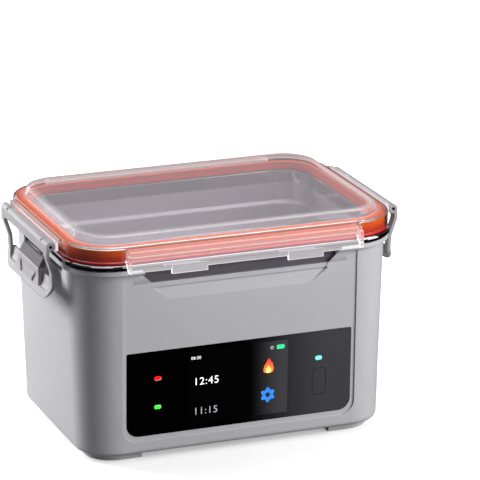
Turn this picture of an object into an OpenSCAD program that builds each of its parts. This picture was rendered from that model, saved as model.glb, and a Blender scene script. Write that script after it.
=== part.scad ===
// Electric lunch box: a drafted plastic housing with a touch display, a heating
// well and a battery, a steel food pot, and a clear lid with a red gasket that two
// side latches hold down. Millimetres, +Z up, +Y towards the back, origin on the
// floor under the middle of the housing.

/* [Housing] */
// Width of the housing across its side walls, at the top
body_w = 212; // [190:1:240]
// Depth of the housing from front wall to rear wall, at the top
body_d = 153; // [140:1:175]
// Height of the housing's top lip above the floor
body_h = 128.2; // [120:1:150]
// Radius of the housing's upright corners, at the top
corner_r = 28.5; // [24:0.5:32]
// Draft of the moulded walls, in degrees
draft = 1.8; // [1:0.1:2.5]
// Thickness of the housing wall
wall = 2.6; // [2:0.1:3.2]
// How far the top lip stands out of the wall
lip_out = 3; // [2.5:0.1:3.2]
// Height of the top lip
lip_h = 3.8; // [3:0.1:5]
// Radius of the housing's rounded bottom edge
base_round = 5; // [3:0.5:7]
// Height of the corner feet
feet_h = 4.5; // [3:0.5:6]
// Width of the band of each corner foot
feet_w = 9; // [7:0.5:11]
// Thickness of the base cover
cover_t = 2.5; // [2:0.1:3.5]

/* [Recesses] */
// Half width of the finger recess at its top
recess_top = 70; // [62:0.5:72]
// Half width of the finger recess at its foot
recess_foot = 46.5; // [40:0.5:52]
// Height of the finger recess below the top lip
recess_h = 22.8; // [20:0.2:25]
// Height of the recess's deep upper slot
slot_h = 10.6; // [9:0.2:12]
// Height of the ridge below the slot
ridge_h = 3; // [2:0.2:4]
// Thickness of the wall behind the deep slot
slot_wall = 1.9; // [1.6:0.1:2.4]
// Half width of the side pockets behind the latches
pocket_half = 40; // [34:1:44]
// Depth of the flat front face below the moulded wall
face_inset = 1; // [0.6:0.1:1.2]
// Half width of the flat front face
face_half = 78.4; // [70:0.2:82]

/* [Display] */
// Width of the front glass
glass_w = 151.4; // [140:0.2:156]
// Height of the front glass
glass_h = 56; // [50:0.5:60]
// Thickness of the front glass
glass_t = 2; // [1.5:0.1:2.4]
// Height of the glass's lower edge above the floor
glass_z = 16.2; // [15:0.2:18]
// Width of the display's lit area
lcd_w = 65; // [60:0.5:72]
// Height of the display's lit area
lcd_h = 49; // [44:0.5:50]
// Width of the power button
button_w = 8.8; // [7:0.1:10]
// Height of the power button
button_h = 17.4; // [14:0.2:19]
// Travel of the power button
button_travel = 0.8; // [0.4:0.1:1]
// Distance of the lamps and the button from the ends of the glass
lamp_in = 20.7; // [18:0.1:26]

/* [Food pot] */
// Gap between the housing wall and the heating well, filled by insulation
wrap_t = 3.4; // [3:0.1:4]
// Thickness of the heating well's sheet
well_t = 0.8; // [0.6:0.1:1]
// Running gap between the pot and the well
pot_gap = 0.8; // [0.6:0.1:1]
// Thickness of the pot's sheet
pot_t = 0.8; // [0.7:0.1:1]
// Height of the pot's raised rim above the housing's top
pot_rim_h = 8.2; // [7:0.1:9]
// How far the pot's rolled flange reaches outside its mouth
flange_out = 11.9; // [11.4:0.1:12.4]
// Height of the rolled flange
flange_h = 3.7; // [3:0.1:4.5]
// Height of the pot's floor above the upper edge of the front glass
pot_floor_over_glass = 0.2; // [0.2:0.1:2]
// Height of the pot's step below its rim
step_z = 21.5; // [16:0.5:26]
// How far the pot's step stands in
step_in = 3; // [2:0.2:4]

/* [Lid] */
// Wall of the clear lid
lid_t = 1.6; // [1.3:0.1:2]
// Height of the lid's top above the floor of its ledge's outer edge
dome_h = 5.6; // [5:0.2:8]
// How far the lid's outer wall stands outside the pot's mouth
lid_out = 10.9; // [10.2:0.1:11.2]
// How far the raised middle reaches outside the pot's mouth
dome_out = 2.4; // [1.8:0.1:3]
// Height of the lid's outer wall
lid_wall_h = 9.5; // [8:0.1:10]
// Half length of the lid's front and rear skirts
skirt_half = 77.7; // [70:0.5:80]
// How far the skirts stand outside the lid's wall
skirt_out = 8.6; // [8:0.2:10]
// Width of the tabs below the skirts
tab_w = 23.5; // [18:0.5:30]
// Distance of the tabs' middle from the lid's middle
tab_x = 38.5; // [30:0.5:44]
// How far the tabs hang below the skirts
tab_h = 2.7; // [2:0.1:5]
// How far the tabs stand out of the skirts
tab_out = 0.6; // [0.4:0.1:1]

/* [Latches] */
// Half length of each side latch
latch_half = 47.6; // [40:0.2:52]
// Height of each side latch
latch_h = 40; // [39:0.5:44]
// Thickness of the latch plate
latch_t = 2; // [1.6:0.1:2.4]
// Width of the latch's side bars, outside its window
bar_w = 6.6; // [5:0.2:9]
// Height of the latch window
window_h = 19.6; // [18:0.2:20.4]
// Half width of the raised panel below the window, at its top
panel_half = 20; // [16:0.5:24]
// Radius of the hinge pins
pin_r = 1; // [0.8:0.1:1.2]
// Radius of the latch's hinge barrel
barrel_r = 2.9; // [2.6:0.1:3.4]
// Thickness of the lid's hinge ears
ear_t = 2.4; // [2:0.1:3]
// Distance of the hinge ears from the ends of the latch
ear_in = 12; // [8:0.5:16]

/* [Battery and electronics] */
// Radius of a battery cell
cell_r = 9.2; // [9:0.1:9.3]
// Length of a battery cell
cell_len = 65; // [60:1:70]
// Thickness of the circuit boards
board_t = 1.6; // [1:0.1:2]
// Thickness of the heating plate
plate_t = 4; // [3:0.5:5]
// Thickness of the heating film
film_t = 1; // [0.8:0.1:1.5]
// Thickness of the insulation pad under the heating film
pad_t = 5; // [4:0.5:6]
// Thickness of the deck that carries the heater
deck_t = 2.5; // [2:0.1:3]
// Radius of the charging inlet's barrel
inlet_r = 5.5; // [5:0.1:6.5]
// Radius of the charging inlet's socket
inlet_bore_r = 3.2; // [2.8:0.1:3.6]

/* [Fits] */
// Running gap between pieces that move past each other
gap = 0.3; // [0.2:0.05:0.4]
// Gap round pieces that are fitted into a seat
seat_gap = 0.1; // [0.05:0.05:0.2]
// Radial clearance of the latch on its hinge pin
pin_gap = 0.06; // [0.03:0.01:0.1]

/* [Hidden] */
$fn = 48;

// Colours
shell_grey = [0.74, 0.74, 0.76];
latch_grey = [0.8, 0.8, 0.82];
gasket_red = [0.86, 0.27, 0.13];
steel = [0.8, 0.8, 0.82];
clear = [0.9, 0.92, 0.95, 0.35];
glass_black = [0.04, 0.04, 0.05];
board_green = [0.1, 0.35, 0.2];
felt_white = [0.88, 0.87, 0.84];

// ---- Helpers -------------------------------------------------------------

eps = 0.01;

// Tangent length, arc centre and arc points of one rounded corner of a polygon
function corner_arc(a, b, c, r, n) =
    let (u = (a - b) / norm(a - b),
         v = (c - b) / norm(c - b),
         half = acos(max(-1, min(1, u * v))) / 2,
         reach = 0.49 * min(norm(a - b), norm(c - b)),
         rr = min(r, reach * tan(half)),
         centre = b + (u + v) / norm(u + v) * rr / sin(half),
         from = b + u * rr / tan(half) - centre,
         to = b + v * rr / tan(half) - centre,
         a0 = atan2(from[1], from[0]),
         turn = (atan2(to[1], to[0]) - a0 + 540) % 360 - 180)
    [for (k = [0 : n]) centre + rr * [cos(a0 + turn * k / n), sin(a0 + turn * k / n)]];

// Points of a polygon whose corner i is [x, y] or, rounded, [x, y, radius]
function rounded(points, n = 5) = [
    for (i = [0 : len(points) - 1])
        let (last = len(points) - 1,
             p = points[i],
             a = points[i == 0 ? last : i - 1],
             c = points[i == last ? 0 : i + 1])
        each (len(p) == 2 || p[2] <= 0
            ? [[p[0], p[1]]]
            : corner_arc([a[0], a[1]], [p[0], p[1]], [c[0], c[1]], p[2], n))
];

// Rectangle with rounded corners, centred
module rounded_rect(w, d, r) {
    square([w - 2 * r, d], center = true);
    square([w, d - 2 * r], center = true);
    for (x = [-1, 1], y = [-1, 1])
        translate([x * (w / 2 - r), y * (d / 2 - r)]) circle(r);
}

// Plate with rounded upright corners, from z0 up
module plate(w, d, r, z0, t) {
    translate([0, 0, z0]) linear_extrude(t) rounded_rect(w, d, r);
}

// Block between two corner points
module block(low, high) {
    translate(low) cube(high - low);
}

// Round bar along Y, between y0 and y1, at x and z
module bar_y(r, y0, y1, x, z) {
    translate([x, y0, z]) rotate([-90, 0, 0]) cylinder(r = r, h = y1 - y0);
}

// The 2D section in children() carried round a rectangle of w by d with corner
// radius r. The section's x is its distance outside the rectangle, its y is height.
module band(w, d, r) {
    cx = w / 2 - r;
    cy = d / 2 - r;
    for (q = [0 : 3])
        translate([(q == 0 || q == 3) ? cx : -cx, q < 2 ? cy : -cy, 0])
            rotate([0, 0, 90 * q])
                rotate_extrude(angle = 90) translate([r, 0]) children();
    for (s = [0, 180]) rotate([0, 0, s]) {
        translate([cx, 0, 0]) rotate([90, 0, 0])
            linear_extrude(2 * cy, center = true) translate([r, 0]) children();
        translate([0, cy, 0]) rotate([0, 0, 90]) rotate([90, 0, 0])
            linear_extrude(2 * cx, center = true) translate([r, 0]) children();
    }
}

// ---- Housing levels and faces ----------------------------------------------

slope = tan(draft);

// Distance of the drafted outer wall inside its top outline, at height z
function wall_in(z) = slope * (body_h - z);

// Half width and half depth of the housing's outer wall at height z
function half_w(z) = body_w / 2 - wall_in(z);
function half_d(z) = body_d / 2 - wall_in(z);

// The front wall's own frame: x to the right, y into the housing, z up the wall
module on_front() {
    translate([0, -half_d(0), 0]) rotate([draft, 0, 0]) children();
}
// The rear wall's frame: y into the housing
module on_rear() {
    rotate([0, 0, 180]) on_front() children();
}

cover_z = feet_h;
cover_top = cover_z + cover_t;
cover_edge = base_round + 1.5;
cover_w = 2 * half_w(cover_z) - 2 * cover_edge;
cover_d = 2 * half_d(cover_z) - 2 * cover_edge;
cover_r = corner_r - wall_in(cover_z) - cover_edge;

// Lowest point of the recesses and pockets
recess_z = body_h - recess_h;
lip_z = body_h - lip_h;
slot_z = body_h - slot_h;

// ---- Heater stack levels ----------------------------------------------------

pot_w = body_w - 2 * (wall + wrap_t + well_t + pot_gap + pot_t);
pot_d = body_d - 2 * (wall + wrap_t + well_t + pot_gap + pot_t);
pot_seat_z = body_h + gap;
pot_rim_z = body_h + pot_rim_h;
pot_floor_z = glass_z + glass_h + pot_floor_over_glass;
pot_base_z = pot_floor_z - pot_t;
pot_step_z = pot_rim_z - step_z;
pot_foot_in = step_in + 3.2;
well_floor_top = pot_base_z - gap;
well_floor_z = well_floor_top - well_t;
plate_z = well_floor_z - plate_t;
film_z = plate_z - film_t;
pad_z = film_z - pad_t;
deck_z = pad_z - deck_t;
// Distance of the well's outer face inside the housing's top outline
well_face = wall + wrap_t;
slot_depth = well_face - gap - slot_wall;
ridge_depth = face_inset + 0.6;
ramp_depth = face_inset + 1.9;
well_foot_in = 2;
well_rebate = 1.2;
seal_t = 0.8;
rim_in = 3.4;
rim_wall = 0.9;
shelf_w = 1.6;
well_shelf_z = body_h - well_rebate - seal_t;
pot_r = corner_r - (body_w - pot_w) / 2;

// ---- Display frame ------------------------------------------------------------

glass_mid_z = glass_z + glass_h / 2;
lamp_x = glass_w / 2 - lamp_in;
glass_front_y = face_inset;
glass_back_y = glass_front_y + glass_t;
pad_back_y = glass_back_y + 1.8;
pad_margin = 5;
pad_top_z = glass_mid_z + (glass_h + pad_margin) / 2;
lcd_x = -1;
lamp_z = [for (s = [1, -1]) glass_mid_z + 9.5 * s];
pipe_w = 4.6;
pipe_h = 2.6;
button_z = glass_mid_z - 6.3;
lcd_t = 4;
lcd_frame = 3;
display_board_y = pad_back_y + lcd_t;
board_post_x = lamp_x + 9;
board_post_z = lcd_h / 2 - 2;

// ---- Lid levels -----------------------------------------------------------------

flange_top = pot_seat_z + flange_h;
gasket_z = flange_top + gap;
bead_h = 1.5;
lid_wall_z = gasket_z + bead_h;
ledge_z = lid_wall_z + lid_wall_h;
ledge_rise = 0.6;
lid_top_z = ledge_z + dome_h;
gasket_top = ledge_z - lid_t - 0.2;
skirt_top = ledge_z - 0.4;
skirt_z = lid_wall_z - 5;
skirt_step = 1.8;

// ---- Latch frame ----------------------------------------------------------------

hinge_z = ledge_z - barrel_r - 1.7;
hinge_x = pot_w / 2 + lid_out + barrel_r + 4;
latch_foot_z = hinge_z + barrel_r - latch_h;
latch_out = hinge_x + barrel_r;
latch_waist = latch_out - 3.8;
knee_z = hinge_z - 6.8;
waist_z = latch_foot_z + 10.5;
window_half = latch_half - bar_w;
window_top = hinge_z - 4.9;
window_low = window_top - window_h;
web_z = latch_foot_z + 5.5;
panel_top = window_low + 2;
panel_flare = 4;
panel_out = latch_waist + 0.9;
tongue_nose = pot_w / 2 + flange_out + gap;
tongue_top = lip_z - gap - 0.9;
ear_y = latch_half - ear_in;
ear_r = pin_r + 0.9;

// ==== Housing ==================================================================

// Section of the housing wall: distance outside the top outline, and height
module wall_section() {
    polygon(rounded([
        [-wall_in(cover_z) - cover_edge, cover_z],
        [-wall_in(cover_z), cover_z, base_round],
        [-wall_in(lip_z), lip_z, 0.8],
        [lip_out, lip_z + 0.9, 0.8],
        [lip_out, body_h, 0.9],
        [-rim_in, body_h],
        [-rim_in, well_shelf_z],
        [-rim_in - shelf_w, well_shelf_z],
        [-rim_in - shelf_w, well_shelf_z - 2],
        [-wall_in(well_shelf_z - 6) - wall, well_shelf_z - 6],
        [-wall_in(cover_top) - wall, cover_top, 1.5],
        [-wall_in(cover_z) - cover_edge, cover_top]
    ]));
}

// Outline of a recess: wide at the top, narrow at its foot, with round corners
module recess_outline(top, foot, low, high) {
    polygon(rounded([[-foot, low, 5], [foot, low, 5], [top, high], [-top, high]]));
}

// The recess in a wall's own frame: a deep slot that stops below the rim, a ridge,
// and a ramp out to the wall's face at the depth edge
module recess_cut(top, foot, high, edge) {
    lean = (top - foot) / recess_h;
    mid = top - lean * slot_h;
    rim_z = well_shelf_z - 2.5;
    front_cut(rim_in - rim_wall)
        polygon(rounded([[-mid, slot_z, 2], [mid, slot_z, 2], [top, high], [-top, high]]));
    front_cut(slot_depth) intersection() {
        polygon(rounded([[-mid, slot_z, 2], [mid, slot_z, 2], [top, body_h], [-top, body_h]]));
        translate([-top, slot_z - 1]) square([2 * top, rim_z - slot_z + 1]);
    }
    front_cut(ridge_depth) recess_outline(mid, mid - lean * 2, slot_z - ridge_h - 1, slot_z + 1);
    intersection() {
        rotate([90, 0, 0]) linear_extrude(40, center = true)
            recess_outline(mid, foot, recess_z, slot_z - ridge_h);
        rotate([90, 0, 90]) linear_extrude(2 * top, center = true) polygon(rounded([
            [-10, recess_z], [edge, recess_z], [ridge_depth + 0.2, recess_z + 3.6, 12],
            [ramp_depth, slot_z - ridge_h], [-10, slot_z - ridge_h]
        ]));
    }
}

// A cut through the wall's face, in its own frame, with its floor at a depth
module front_cut(depth) {
    translate([0, depth, 0]) rotate([90, 0, 0]) linear_extrude(depth + 10) children();
}

// Wall material behind a recess, on the inner face of the wall
module recess_backing(half) {
    depth = slot_depth + slot_wall;
    rotate([90, 0, 90]) linear_extrude(2 * half, center = true) polygon([
        [wall - 0.2, recess_z - 4], [depth, recess_z + 4], [depth, well_shelf_z], [wall - 0.2, well_shelf_z]
    ]);
}

side_turn = [90, -90];

// The side wall's own frame: x along the wall, y into the housing, z up the wall
module on_side(turn) {
    rotate([0, 0, turn]) translate([0, -half_w(0), 0]) rotate([draft, 0, 0]) children();
}

boss_x = body_w / 2 - 18;
boss_y = 38;
boss_r = 4;
boss_h = 14;
screw_r = 1.5;
screw_head_r = 2.9;

module screw_spots() {
    for (x = [-1, 1], y = [-1, 1]) translate([x * boss_x, y * boss_y, 0]) children();
}

inlet_x = 58;
inlet_z = 30;
inlet_flange_r = inlet_r + 2.2;

post_r = 4.5;
post_x = body_w / 2 - 14;
post_y = 24;

module deck_spots() {
    for (x = [-1, 1], y = [-1, 1]) translate([x * post_x, y * post_y, 0]) children();
}

// Opening shapes that both the housing and the glass follow, in the front frame
module button_outline(grow) {
    translate([lamp_x - 1, button_z])
        rounded_rect(button_w + 2 * grow, button_h + 2 * grow, 2.4 + grow);
}
module lamp_outlines(grow) {
    for (z = lamp_z) translate([-lamp_x, z])
        rounded_rect(pipe_w + 2 * grow, pipe_h + 2 * grow, 1.1 + grow);
    translate([lamp_x - 1.6, lamp_z[0]])
        rounded_rect(pipe_w + 2 * grow, pipe_h + 2 * grow, 1.1 + grow);
}

module board_posts() {
    for (x = [-1, 1], z = [-1, 1]) translate([x * board_post_x, glass_mid_z + z * board_post_z]) children();
}

// Prism of a 2D outline in the front frame, from y0 to y1 into the housing
module front_prism(y0, y1) {
    translate([0, y1, 0]) rotate([90, 0, 0]) linear_extrude(y1 - y0) children();
}

module glass_outline(grow) {
    low = glass_z - grow;
    high = glass_z + glass_h + grow;
    half = glass_w / 2 + grow;
    polygon(rounded([[-half, low, 8 + grow], [half, low, 8 + grow], [half, high, 1], [-half, high, 1]], 8));
}

module housing() color(shell_grey) difference() {
    union() {
        band(body_w, body_d, corner_r) wall_section();
        intersection() {
            union() {
                on_front() recess_backing(recess_top + 3);
                on_front() front_prism(wall - 0.2, pad_back_y) translate([0, glass_mid_z])
                    square([glass_w + 2 * pad_margin, glass_h + pad_margin], center = true);
                on_front() front_prism(pad_back_y - 0.1, display_board_y) board_posts() circle(2.6);
                for (t = side_turn) on_side(t) recess_backing(pocket_half + 3);
                screw_spots() translate([0, 0, cover_top + seat_gap]) cylinder(r = boss_r, h = boss_h);
                for (s = [-1, 1], y = [-1, 1])
                    translate([s * (boss_x + 10), y * boss_y, cover_top + seat_gap + boss_h / 2])
                        cube([20, 2, boss_h], center = true);
                deck_posts();
                on_rear() front_prism(wall - 0.2, wall + 2) translate([inlet_x, inlet_z]) circle(inlet_flange_r + 3);
            }
            housing_envelope();
        }
    }
    on_front() front_prism(-5, face_inset) polygon(rounded([
        [-face_half, glass_z - 3.4, 10], [face_half, glass_z - 3.4, 10],
        [face_half, lip_z - 0.4], [-face_half, lip_z - 0.4]
    ], 8));
    on_front() front_prism(0, glass_back_y) glass_outline(seat_gap);
    on_front() front_prism(0, pad_back_y + 5) translate([lcd_x, glass_mid_z])
        square([lcd_w + 2, lcd_h + 2], center = true);
    on_front() front_prism(0, pad_back_y + 5) lamp_outlines(seat_gap);
    on_front() front_prism(0, pad_back_y + 5) button_outline(gap);
    on_front() recess_cut(recess_top, recess_foot, body_h + 5, face_inset);
    for (t = side_turn) on_side(t) recess_cut(pocket_half, pocket_half - 4, lip_z, 0);
    screw_spots() translate([0, 0, cover_z - 1]) cylinder(r = screw_r, h = boss_h + 2);
    deck_spots() translate([0, 0, deck_z - 12]) cylinder(r = screw_r - 0.2, h = 12 + eps);
    on_rear() front_prism(-5, wall + 5) translate([inlet_x, inlet_z]) circle(inlet_r + seat_gap);
}

// The solid space inside the housing's outer faces, which trims ribs and pads
module housing_envelope() {
    z0 = cover_top;
    band(body_w, body_d, corner_r) polygon([
        [-corner_r, z0], [-wall_in(z0) - 1, z0], [-1, well_shelf_z], [-corner_r, well_shelf_z]
    ]);
    block([-body_w / 2 + corner_r - eps, -body_d / 2 + corner_r - eps, z0],
          [body_w / 2 - corner_r + eps, body_d / 2 - corner_r + eps, well_shelf_z]);
}

// Posts on the side walls that carry the heater deck
module deck_posts() {
    deck_spots() translate([0, 0, deck_z - 16]) cylinder(r = post_r, h = 16);
    for (s = [-1, 1], y = [-1, 1])
        translate([s * (post_x + 8), y * post_y, deck_z - 8]) cube([16, 3, 16], center = true);
}

// ==== Base =====================================================================

module base_cover() color(shell_grey * 0.9) difference() {
    union() {
        plate(cover_w - 2 * seat_gap, cover_d - 2 * seat_gap, cover_r - seat_gap, cover_z, cover_t);
        for (s = [-1, 1]) block([-cells_half - 2, cells_y + s * (cell_len / 2 + 3.2) - 1, cover_top - eps],
                                [cells_half + 2, cells_y + s * (cell_len / 2 + 3.2) + 1, cover_top + 3]);
    }
    screw_spots() translate([0, 0, cover_z - 1]) cylinder(r = screw_r + 0.2, h = cover_t + 2);
    screw_spots() translate([0, 0, cover_z - 1]) cylinder(r = screw_head_r + 0.2, h = 2.2);
}

foot_inset = base_round + 0.6;

// Four feet that follow the housing's round corners
module corner_feet() color(shell_grey * 0.8) {
    w = 2 * (half_w(cover_z) - foot_inset);
    d = 2 * (half_d(cover_z) - foot_inset);
    r = corner_r - wall_in(cover_z) - foot_inset;
    reach = 14;
    intersection() {
        band(w, d, r) polygon(rounded([
            [-feet_w, 0, 0.8], [-0.8, 0, 0.8], [0, feet_h], [-feet_w, feet_h]
        ], 3));
        for (x = [-1, 1], y = [-1, 1])
            translate([x * (w / 2 - (r + reach) / 2 + 1), y * (d / 2 - (r + reach) / 2 + 1), feet_h / 2])
                cube([r + reach + 2, r + reach + 2, feet_h + 1], center = true);
    }
}

module base_screws() color("dimgray") screw_spots() {
    translate([0, 0, cover_z + 0.2]) cylinder(r = screw_head_r, h = 1);
    translate([0, 0, cover_z + 1]) cylinder(r = screw_r, h = 11);
}

// ==== Display ====================================================================

module front_glass() color(glass_black) on_front() difference() {
    front_prism(glass_front_y, glass_back_y - seat_gap / 2) glass_outline(0);
    front_prism(0, 5) button_outline(gap);
    front_prism(0, 5) lamp_outlines(seat_gap);
}

module display_module() color("darkslategray") on_front() {
    front_prism(glass_back_y, pad_back_y + 0.5) translate([lcd_x, glass_mid_z])
        square([lcd_w, lcd_h], center = true);
    front_prism(pad_back_y, display_board_y) translate([lcd_x, glass_mid_z])
        square([lcd_w + 2 * lcd_frame, lcd_h + 3], center = true);
}

module display_board() color(board_green) on_front() difference() {
    front_prism(display_board_y + seat_gap, display_board_y + seat_gap + board_t)
        translate([0, glass_mid_z]) square([2 * board_post_x + 7, 2 * board_post_z + 7], center = true);
    front_prism(0, 20) board_posts() circle(1.3);
}

module light_pipes() color([1, 1, 1, 0.7]) on_front() {
    front_prism(glass_front_y, display_board_y) lamp_outlines(0);
}

module power_button() color([0.12, 0.12, 0.13]) on_front() {
    front_prism(glass_front_y + 0.1, pad_back_y + 0.6) button_outline(0);
    front_prism(pad_back_y + 0.1, pad_back_y + 0.7) button_outline(gap + 0.8);
    translate([lamp_x - 1, 0, button_z]) rotate([-90, 0, 0]) translate([0, 0, pad_back_y])
        cylinder(r = 1.6, h = display_board_y - pad_back_y - button_switch_h - button_travel - 0.2);
}

button_switch_h = 1.8;

module button_switch() color("gray") on_front() {
    front_prism(display_board_y - button_switch_h + 0.6, display_board_y + seat_gap)
        translate([lamp_x - 1, button_z]) square([6, 6], center = true);
    translate([lamp_x - 1, 0, button_z]) rotate([-90, 0, 0])
        translate([0, 0, display_board_y - button_switch_h]) cylinder(r = 1.5, h = 0.7);
}

// ==== Heating ====================================================================

// Section of the heating well's wall, outside the housing's top outline
module well_section() {
    top = body_h - well_rebate + well_t;
    foot = -well_face - well_foot_in;
    polygon([
        [-rim_in - seat_gap, top], [-rim_in - seat_gap, top - well_t],
        [-well_face, top - well_t], [foot, well_floor_z],
        [foot - well_t - 2, well_floor_z], [foot - well_t - 2, well_floor_top],
        [foot - well_t, well_floor_top], [-well_face - well_t, top]
    ]);
}

module heating_well() color([0.78, 0.79, 0.8]) {
    band(body_w, body_d, corner_r) well_section();
    inner = well_face + well_foot_in + well_t + 1;
    plate(body_w - 2 * inner, body_d - 2 * inner, corner_r - inner, well_floor_z, well_t);
}

module well_seal() color([0.2, 0.2, 0.22]) band(body_w, body_d, corner_r) polygon([
    [-rim_in - seat_gap, well_shelf_z], [-rim_in - seat_gap, well_shelf_z + seal_t],
    [-rim_in - shelf_w, well_shelf_z + seal_t], [-rim_in - shelf_w, well_shelf_z]
]);

plate_inset = 14;
module heater_plate() color([0.75, 0.75, 0.77])
    plate(body_w - 2 * (well_face + plate_inset), body_d - 2 * (well_face + plate_inset), 12, plate_z, plate_t);

module heater_film() color([0.75, 0.35, 0.2])
    plate(body_w - 2 * (well_face + plate_inset + 4), body_d - 2 * (well_face + plate_inset + 4), 10, film_z, film_t);

module insulation_wrap() color(felt_white) band(body_w, body_d, corner_r) {
    low = pad_top_z + 1;
    high = recess_z - 5;
    lean = well_foot_in / (body_h - well_floor_z);
    polygon([
        [-well_face + 0.2 - lean * (body_h - low), low],
        [-wall_in(low) - wall - 0.2, low],
        [-wall_in(high) - wall - 0.2, high],
        [-well_face + 0.2 - lean * (body_h - high), high]
    ]);
}

module insulation_pad() color(felt_white) difference() {
    plate(body_w - 2 * (well_face + plate_inset - 2), body_d - 2 * (well_face + plate_inset - 2), 14, pad_z, pad_t);
    for (x = [-30, 30]) translate([x, 0, pad_z - 1]) cylinder(r = 9, h = pad_t + 2);
}

// The deck stays behind the display board
display_room = display_board_y + seat_gap + board_t + 1.5;
deck_w = body_w - 2 * (wall + 4.4);
deck_d = 2 * (half_d(deck_z) - display_room);
module heater_deck() color([0.25, 0.26, 0.28]) difference() {
    union() {
        plate(deck_w, deck_d, 22, deck_z, deck_t);
        for (x = [-1, 1], y = [-1, 1])
            translate([x * board_x, y * board_y, deck_z - standoff_h]) cylinder(r = 3, h = standoff_h + 1);
    }
    for (x = [-30, 30]) translate([x, 0, deck_z - 1]) cylinder(r = 9, h = deck_t + 2);
    deck_spots() translate([0, 0, deck_z - 1]) cylinder(r = screw_r + 0.2, h = deck_t + 2);
}

module deck_screws() color("dimgray") deck_spots() {
    translate([0, 0, deck_z + deck_t]) cylinder(r = screw_head_r, h = 1.8);
    translate([0, 0, deck_z - 8]) cylinder(r = screw_r - 0.2, h = 8 + deck_t + 0.5);
}

// The cut-out fuse and the sensor sit in the holes of the pad, against the film
module thermal_fuse() color("ivory") translate([-30, 0, film_z - 5]) {
    cylinder(r = 6, h = 5);
    translate([0, 0, -2]) cylinder(r = 3.2, h = 2.5);
}

module temperature_sensor() color([0.2, 0.3, 0.5]) translate([30, 0, film_z - 4]) {
    cylinder(r = 3, h = 4);
    translate([0, 0, -3]) cylinder(r = 1.4, h = 3.5);
}

// ==== Electronics ================================================================

board_x = 62;
board_y = 38;
standoff_h = 6;
main_board_z = deck_z - standoff_h - board_t;

module main_board() color(board_green) {
    difference() {
        plate(2 * board_x + 12, 2 * board_y + 12, 4, main_board_z, board_t);
        for (x = [-1, 1], y = [-1, 1])
            translate([x * board_x, y * board_y, main_board_z - 1]) cylinder(r = 1.6, h = board_t + 2);
    }
    for (p = [[-40, -20, 12, 10, 7], [-15, -22, 8, 8, 4], [30, -20, 16, 12, 6], [-45, 20, 14, 14, 8], [20, 22, 10, 18, 6]])
        translate([p[0], p[1], main_board_z - p[4] / 2 + eps]) cube([p[2], p[3], p[4]], center = true);
}

module buzzer() color([0.1, 0.1, 0.1]) translate([board_x - 14, board_y - 20, main_board_z - 5]) difference() {
    cylinder(r = 6, h = 5);
    translate([0, 0, -1]) cylinder(r = 1, h = 3);
}

cell_pitch = 2 * cell_r + 1.2;
holder_end = 1.8;
// As many cells as fit between the screw bosses
cell_count = floor(2 * (boss_x - boss_r - holder_end - 0.5) / cell_pitch);
cells_half = cell_count * cell_pitch / 2;
cells_y = 14;
cell_z = cover_top + 1.6 + cell_r;

module each_cell() {
    for (i = [0 : cell_count - 1]) translate([(i + 0.5) * cell_pitch - cells_half, 0, 0]) children();
}

module battery_cells() color([0.25, 0.45, 0.7]) each_cell() {
    bar_y(cell_r, cells_y - cell_len / 2, cells_y + cell_len / 2, 0, cell_z);
}

// Two combs with a bore for each cell, joined by side rails
module cell_holder() color([0.15, 0.15, 0.16]) difference() {
    low = cover_top;
    high = cell_z + cell_r + 2.4;
    for (s = [-1, 1]) translate([0, cells_y + s * (cell_len / 2 - 4), 0])
        block([-cells_half - holder_end, -3, low], [cells_half + holder_end, 3, high]);
    each_cell() bar_y(cell_r + seat_gap, cells_y - cell_len, cells_y + cell_len, 0, cell_z);
}

module cell_straps() color([0.8, 0.8, 0.78]) {
    for (s = [-1, 1], i = [0 : 2 : cell_count - 2])
        translate([(i + 1) * cell_pitch - cells_half, cells_y + s * (cell_len / 2 + 0.15), cell_z])
            cube([cell_pitch + 8, 0.3, 8], center = true);
}

module battery_board() color(board_green) {
    z = cell_z + cell_r + 2.4;
    translate([0, cells_y, z + board_t / 2]) cube([1.2 * cells_half, cell_len - 4, board_t], center = true);
    for (i = [-1, 0, 1]) translate([i * cells_half * 0.3, cells_y, z + board_t + 1.4])
        cube([9, 11, 3], center = true);
}

module charging_inlet() color([0.1, 0.1, 0.11]) on_rear() {
    translate([inlet_x, 0, inlet_z]) rotate([-90, 0, 0]) difference() {
        union() {
            translate([0, 0, -0.9]) cylinder(r = inlet_flange_r, h = 0.9);
            translate([0, 0, -0.5]) cylinder(r = inlet_r, h = 12.5);
        }
        translate([0, 0, -1]) cylinder(r = inlet_bore_r, h = 10);
    }
    translate([inlet_x, 0, inlet_z]) rotate([-90, 0, 0]) cylinder(r = 1, h = 10);
}

module inlet_nut() color([0.6, 0.6, 0.6]) on_rear()
    front_prism(wall + 2, wall + 4.5) difference() {
        translate([inlet_x, inlet_z]) circle(inlet_r + 2.4, $fn = 6);
        translate([inlet_x, inlet_z]) circle(inlet_r);
    }

// ==== Food pot ===================================================================

// Section of the pot's sheet, outside its mouth: a raised rim, a rolled flange
// that lies on the housing's top, a wall with a step, and the corner to the floor
module pot_section() {
    t = pot_t;
    hem = flange_out - 3;
    polygon(rounded([
        [0, pot_rim_z, 0.6],
        [2.4, pot_rim_z, 0.9],
        [2.4, flange_top, 0.8],
        [flange_out, flange_top, 1.6],
        [flange_out, pot_seat_z, 1.2],
        [hem, pot_seat_z, 0.6],
        [hem, flange_top - t, 0.4],
        [t, flange_top - t, 0.5],
        [t, pot_step_z, 1],
        [t - step_in, pot_step_z - 1, 1],
        [t - pot_foot_in, pot_base_z, 6],
        [-14, pot_base_z],
        [-14, pot_floor_z],
        [-pot_foot_in, pot_floor_z, 5.4],
        [-step_in, pot_step_z - 1 + t * 0.6, 1],
        [0, pot_step_z + t * 0.6, 1]
    ], 4));
}

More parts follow.
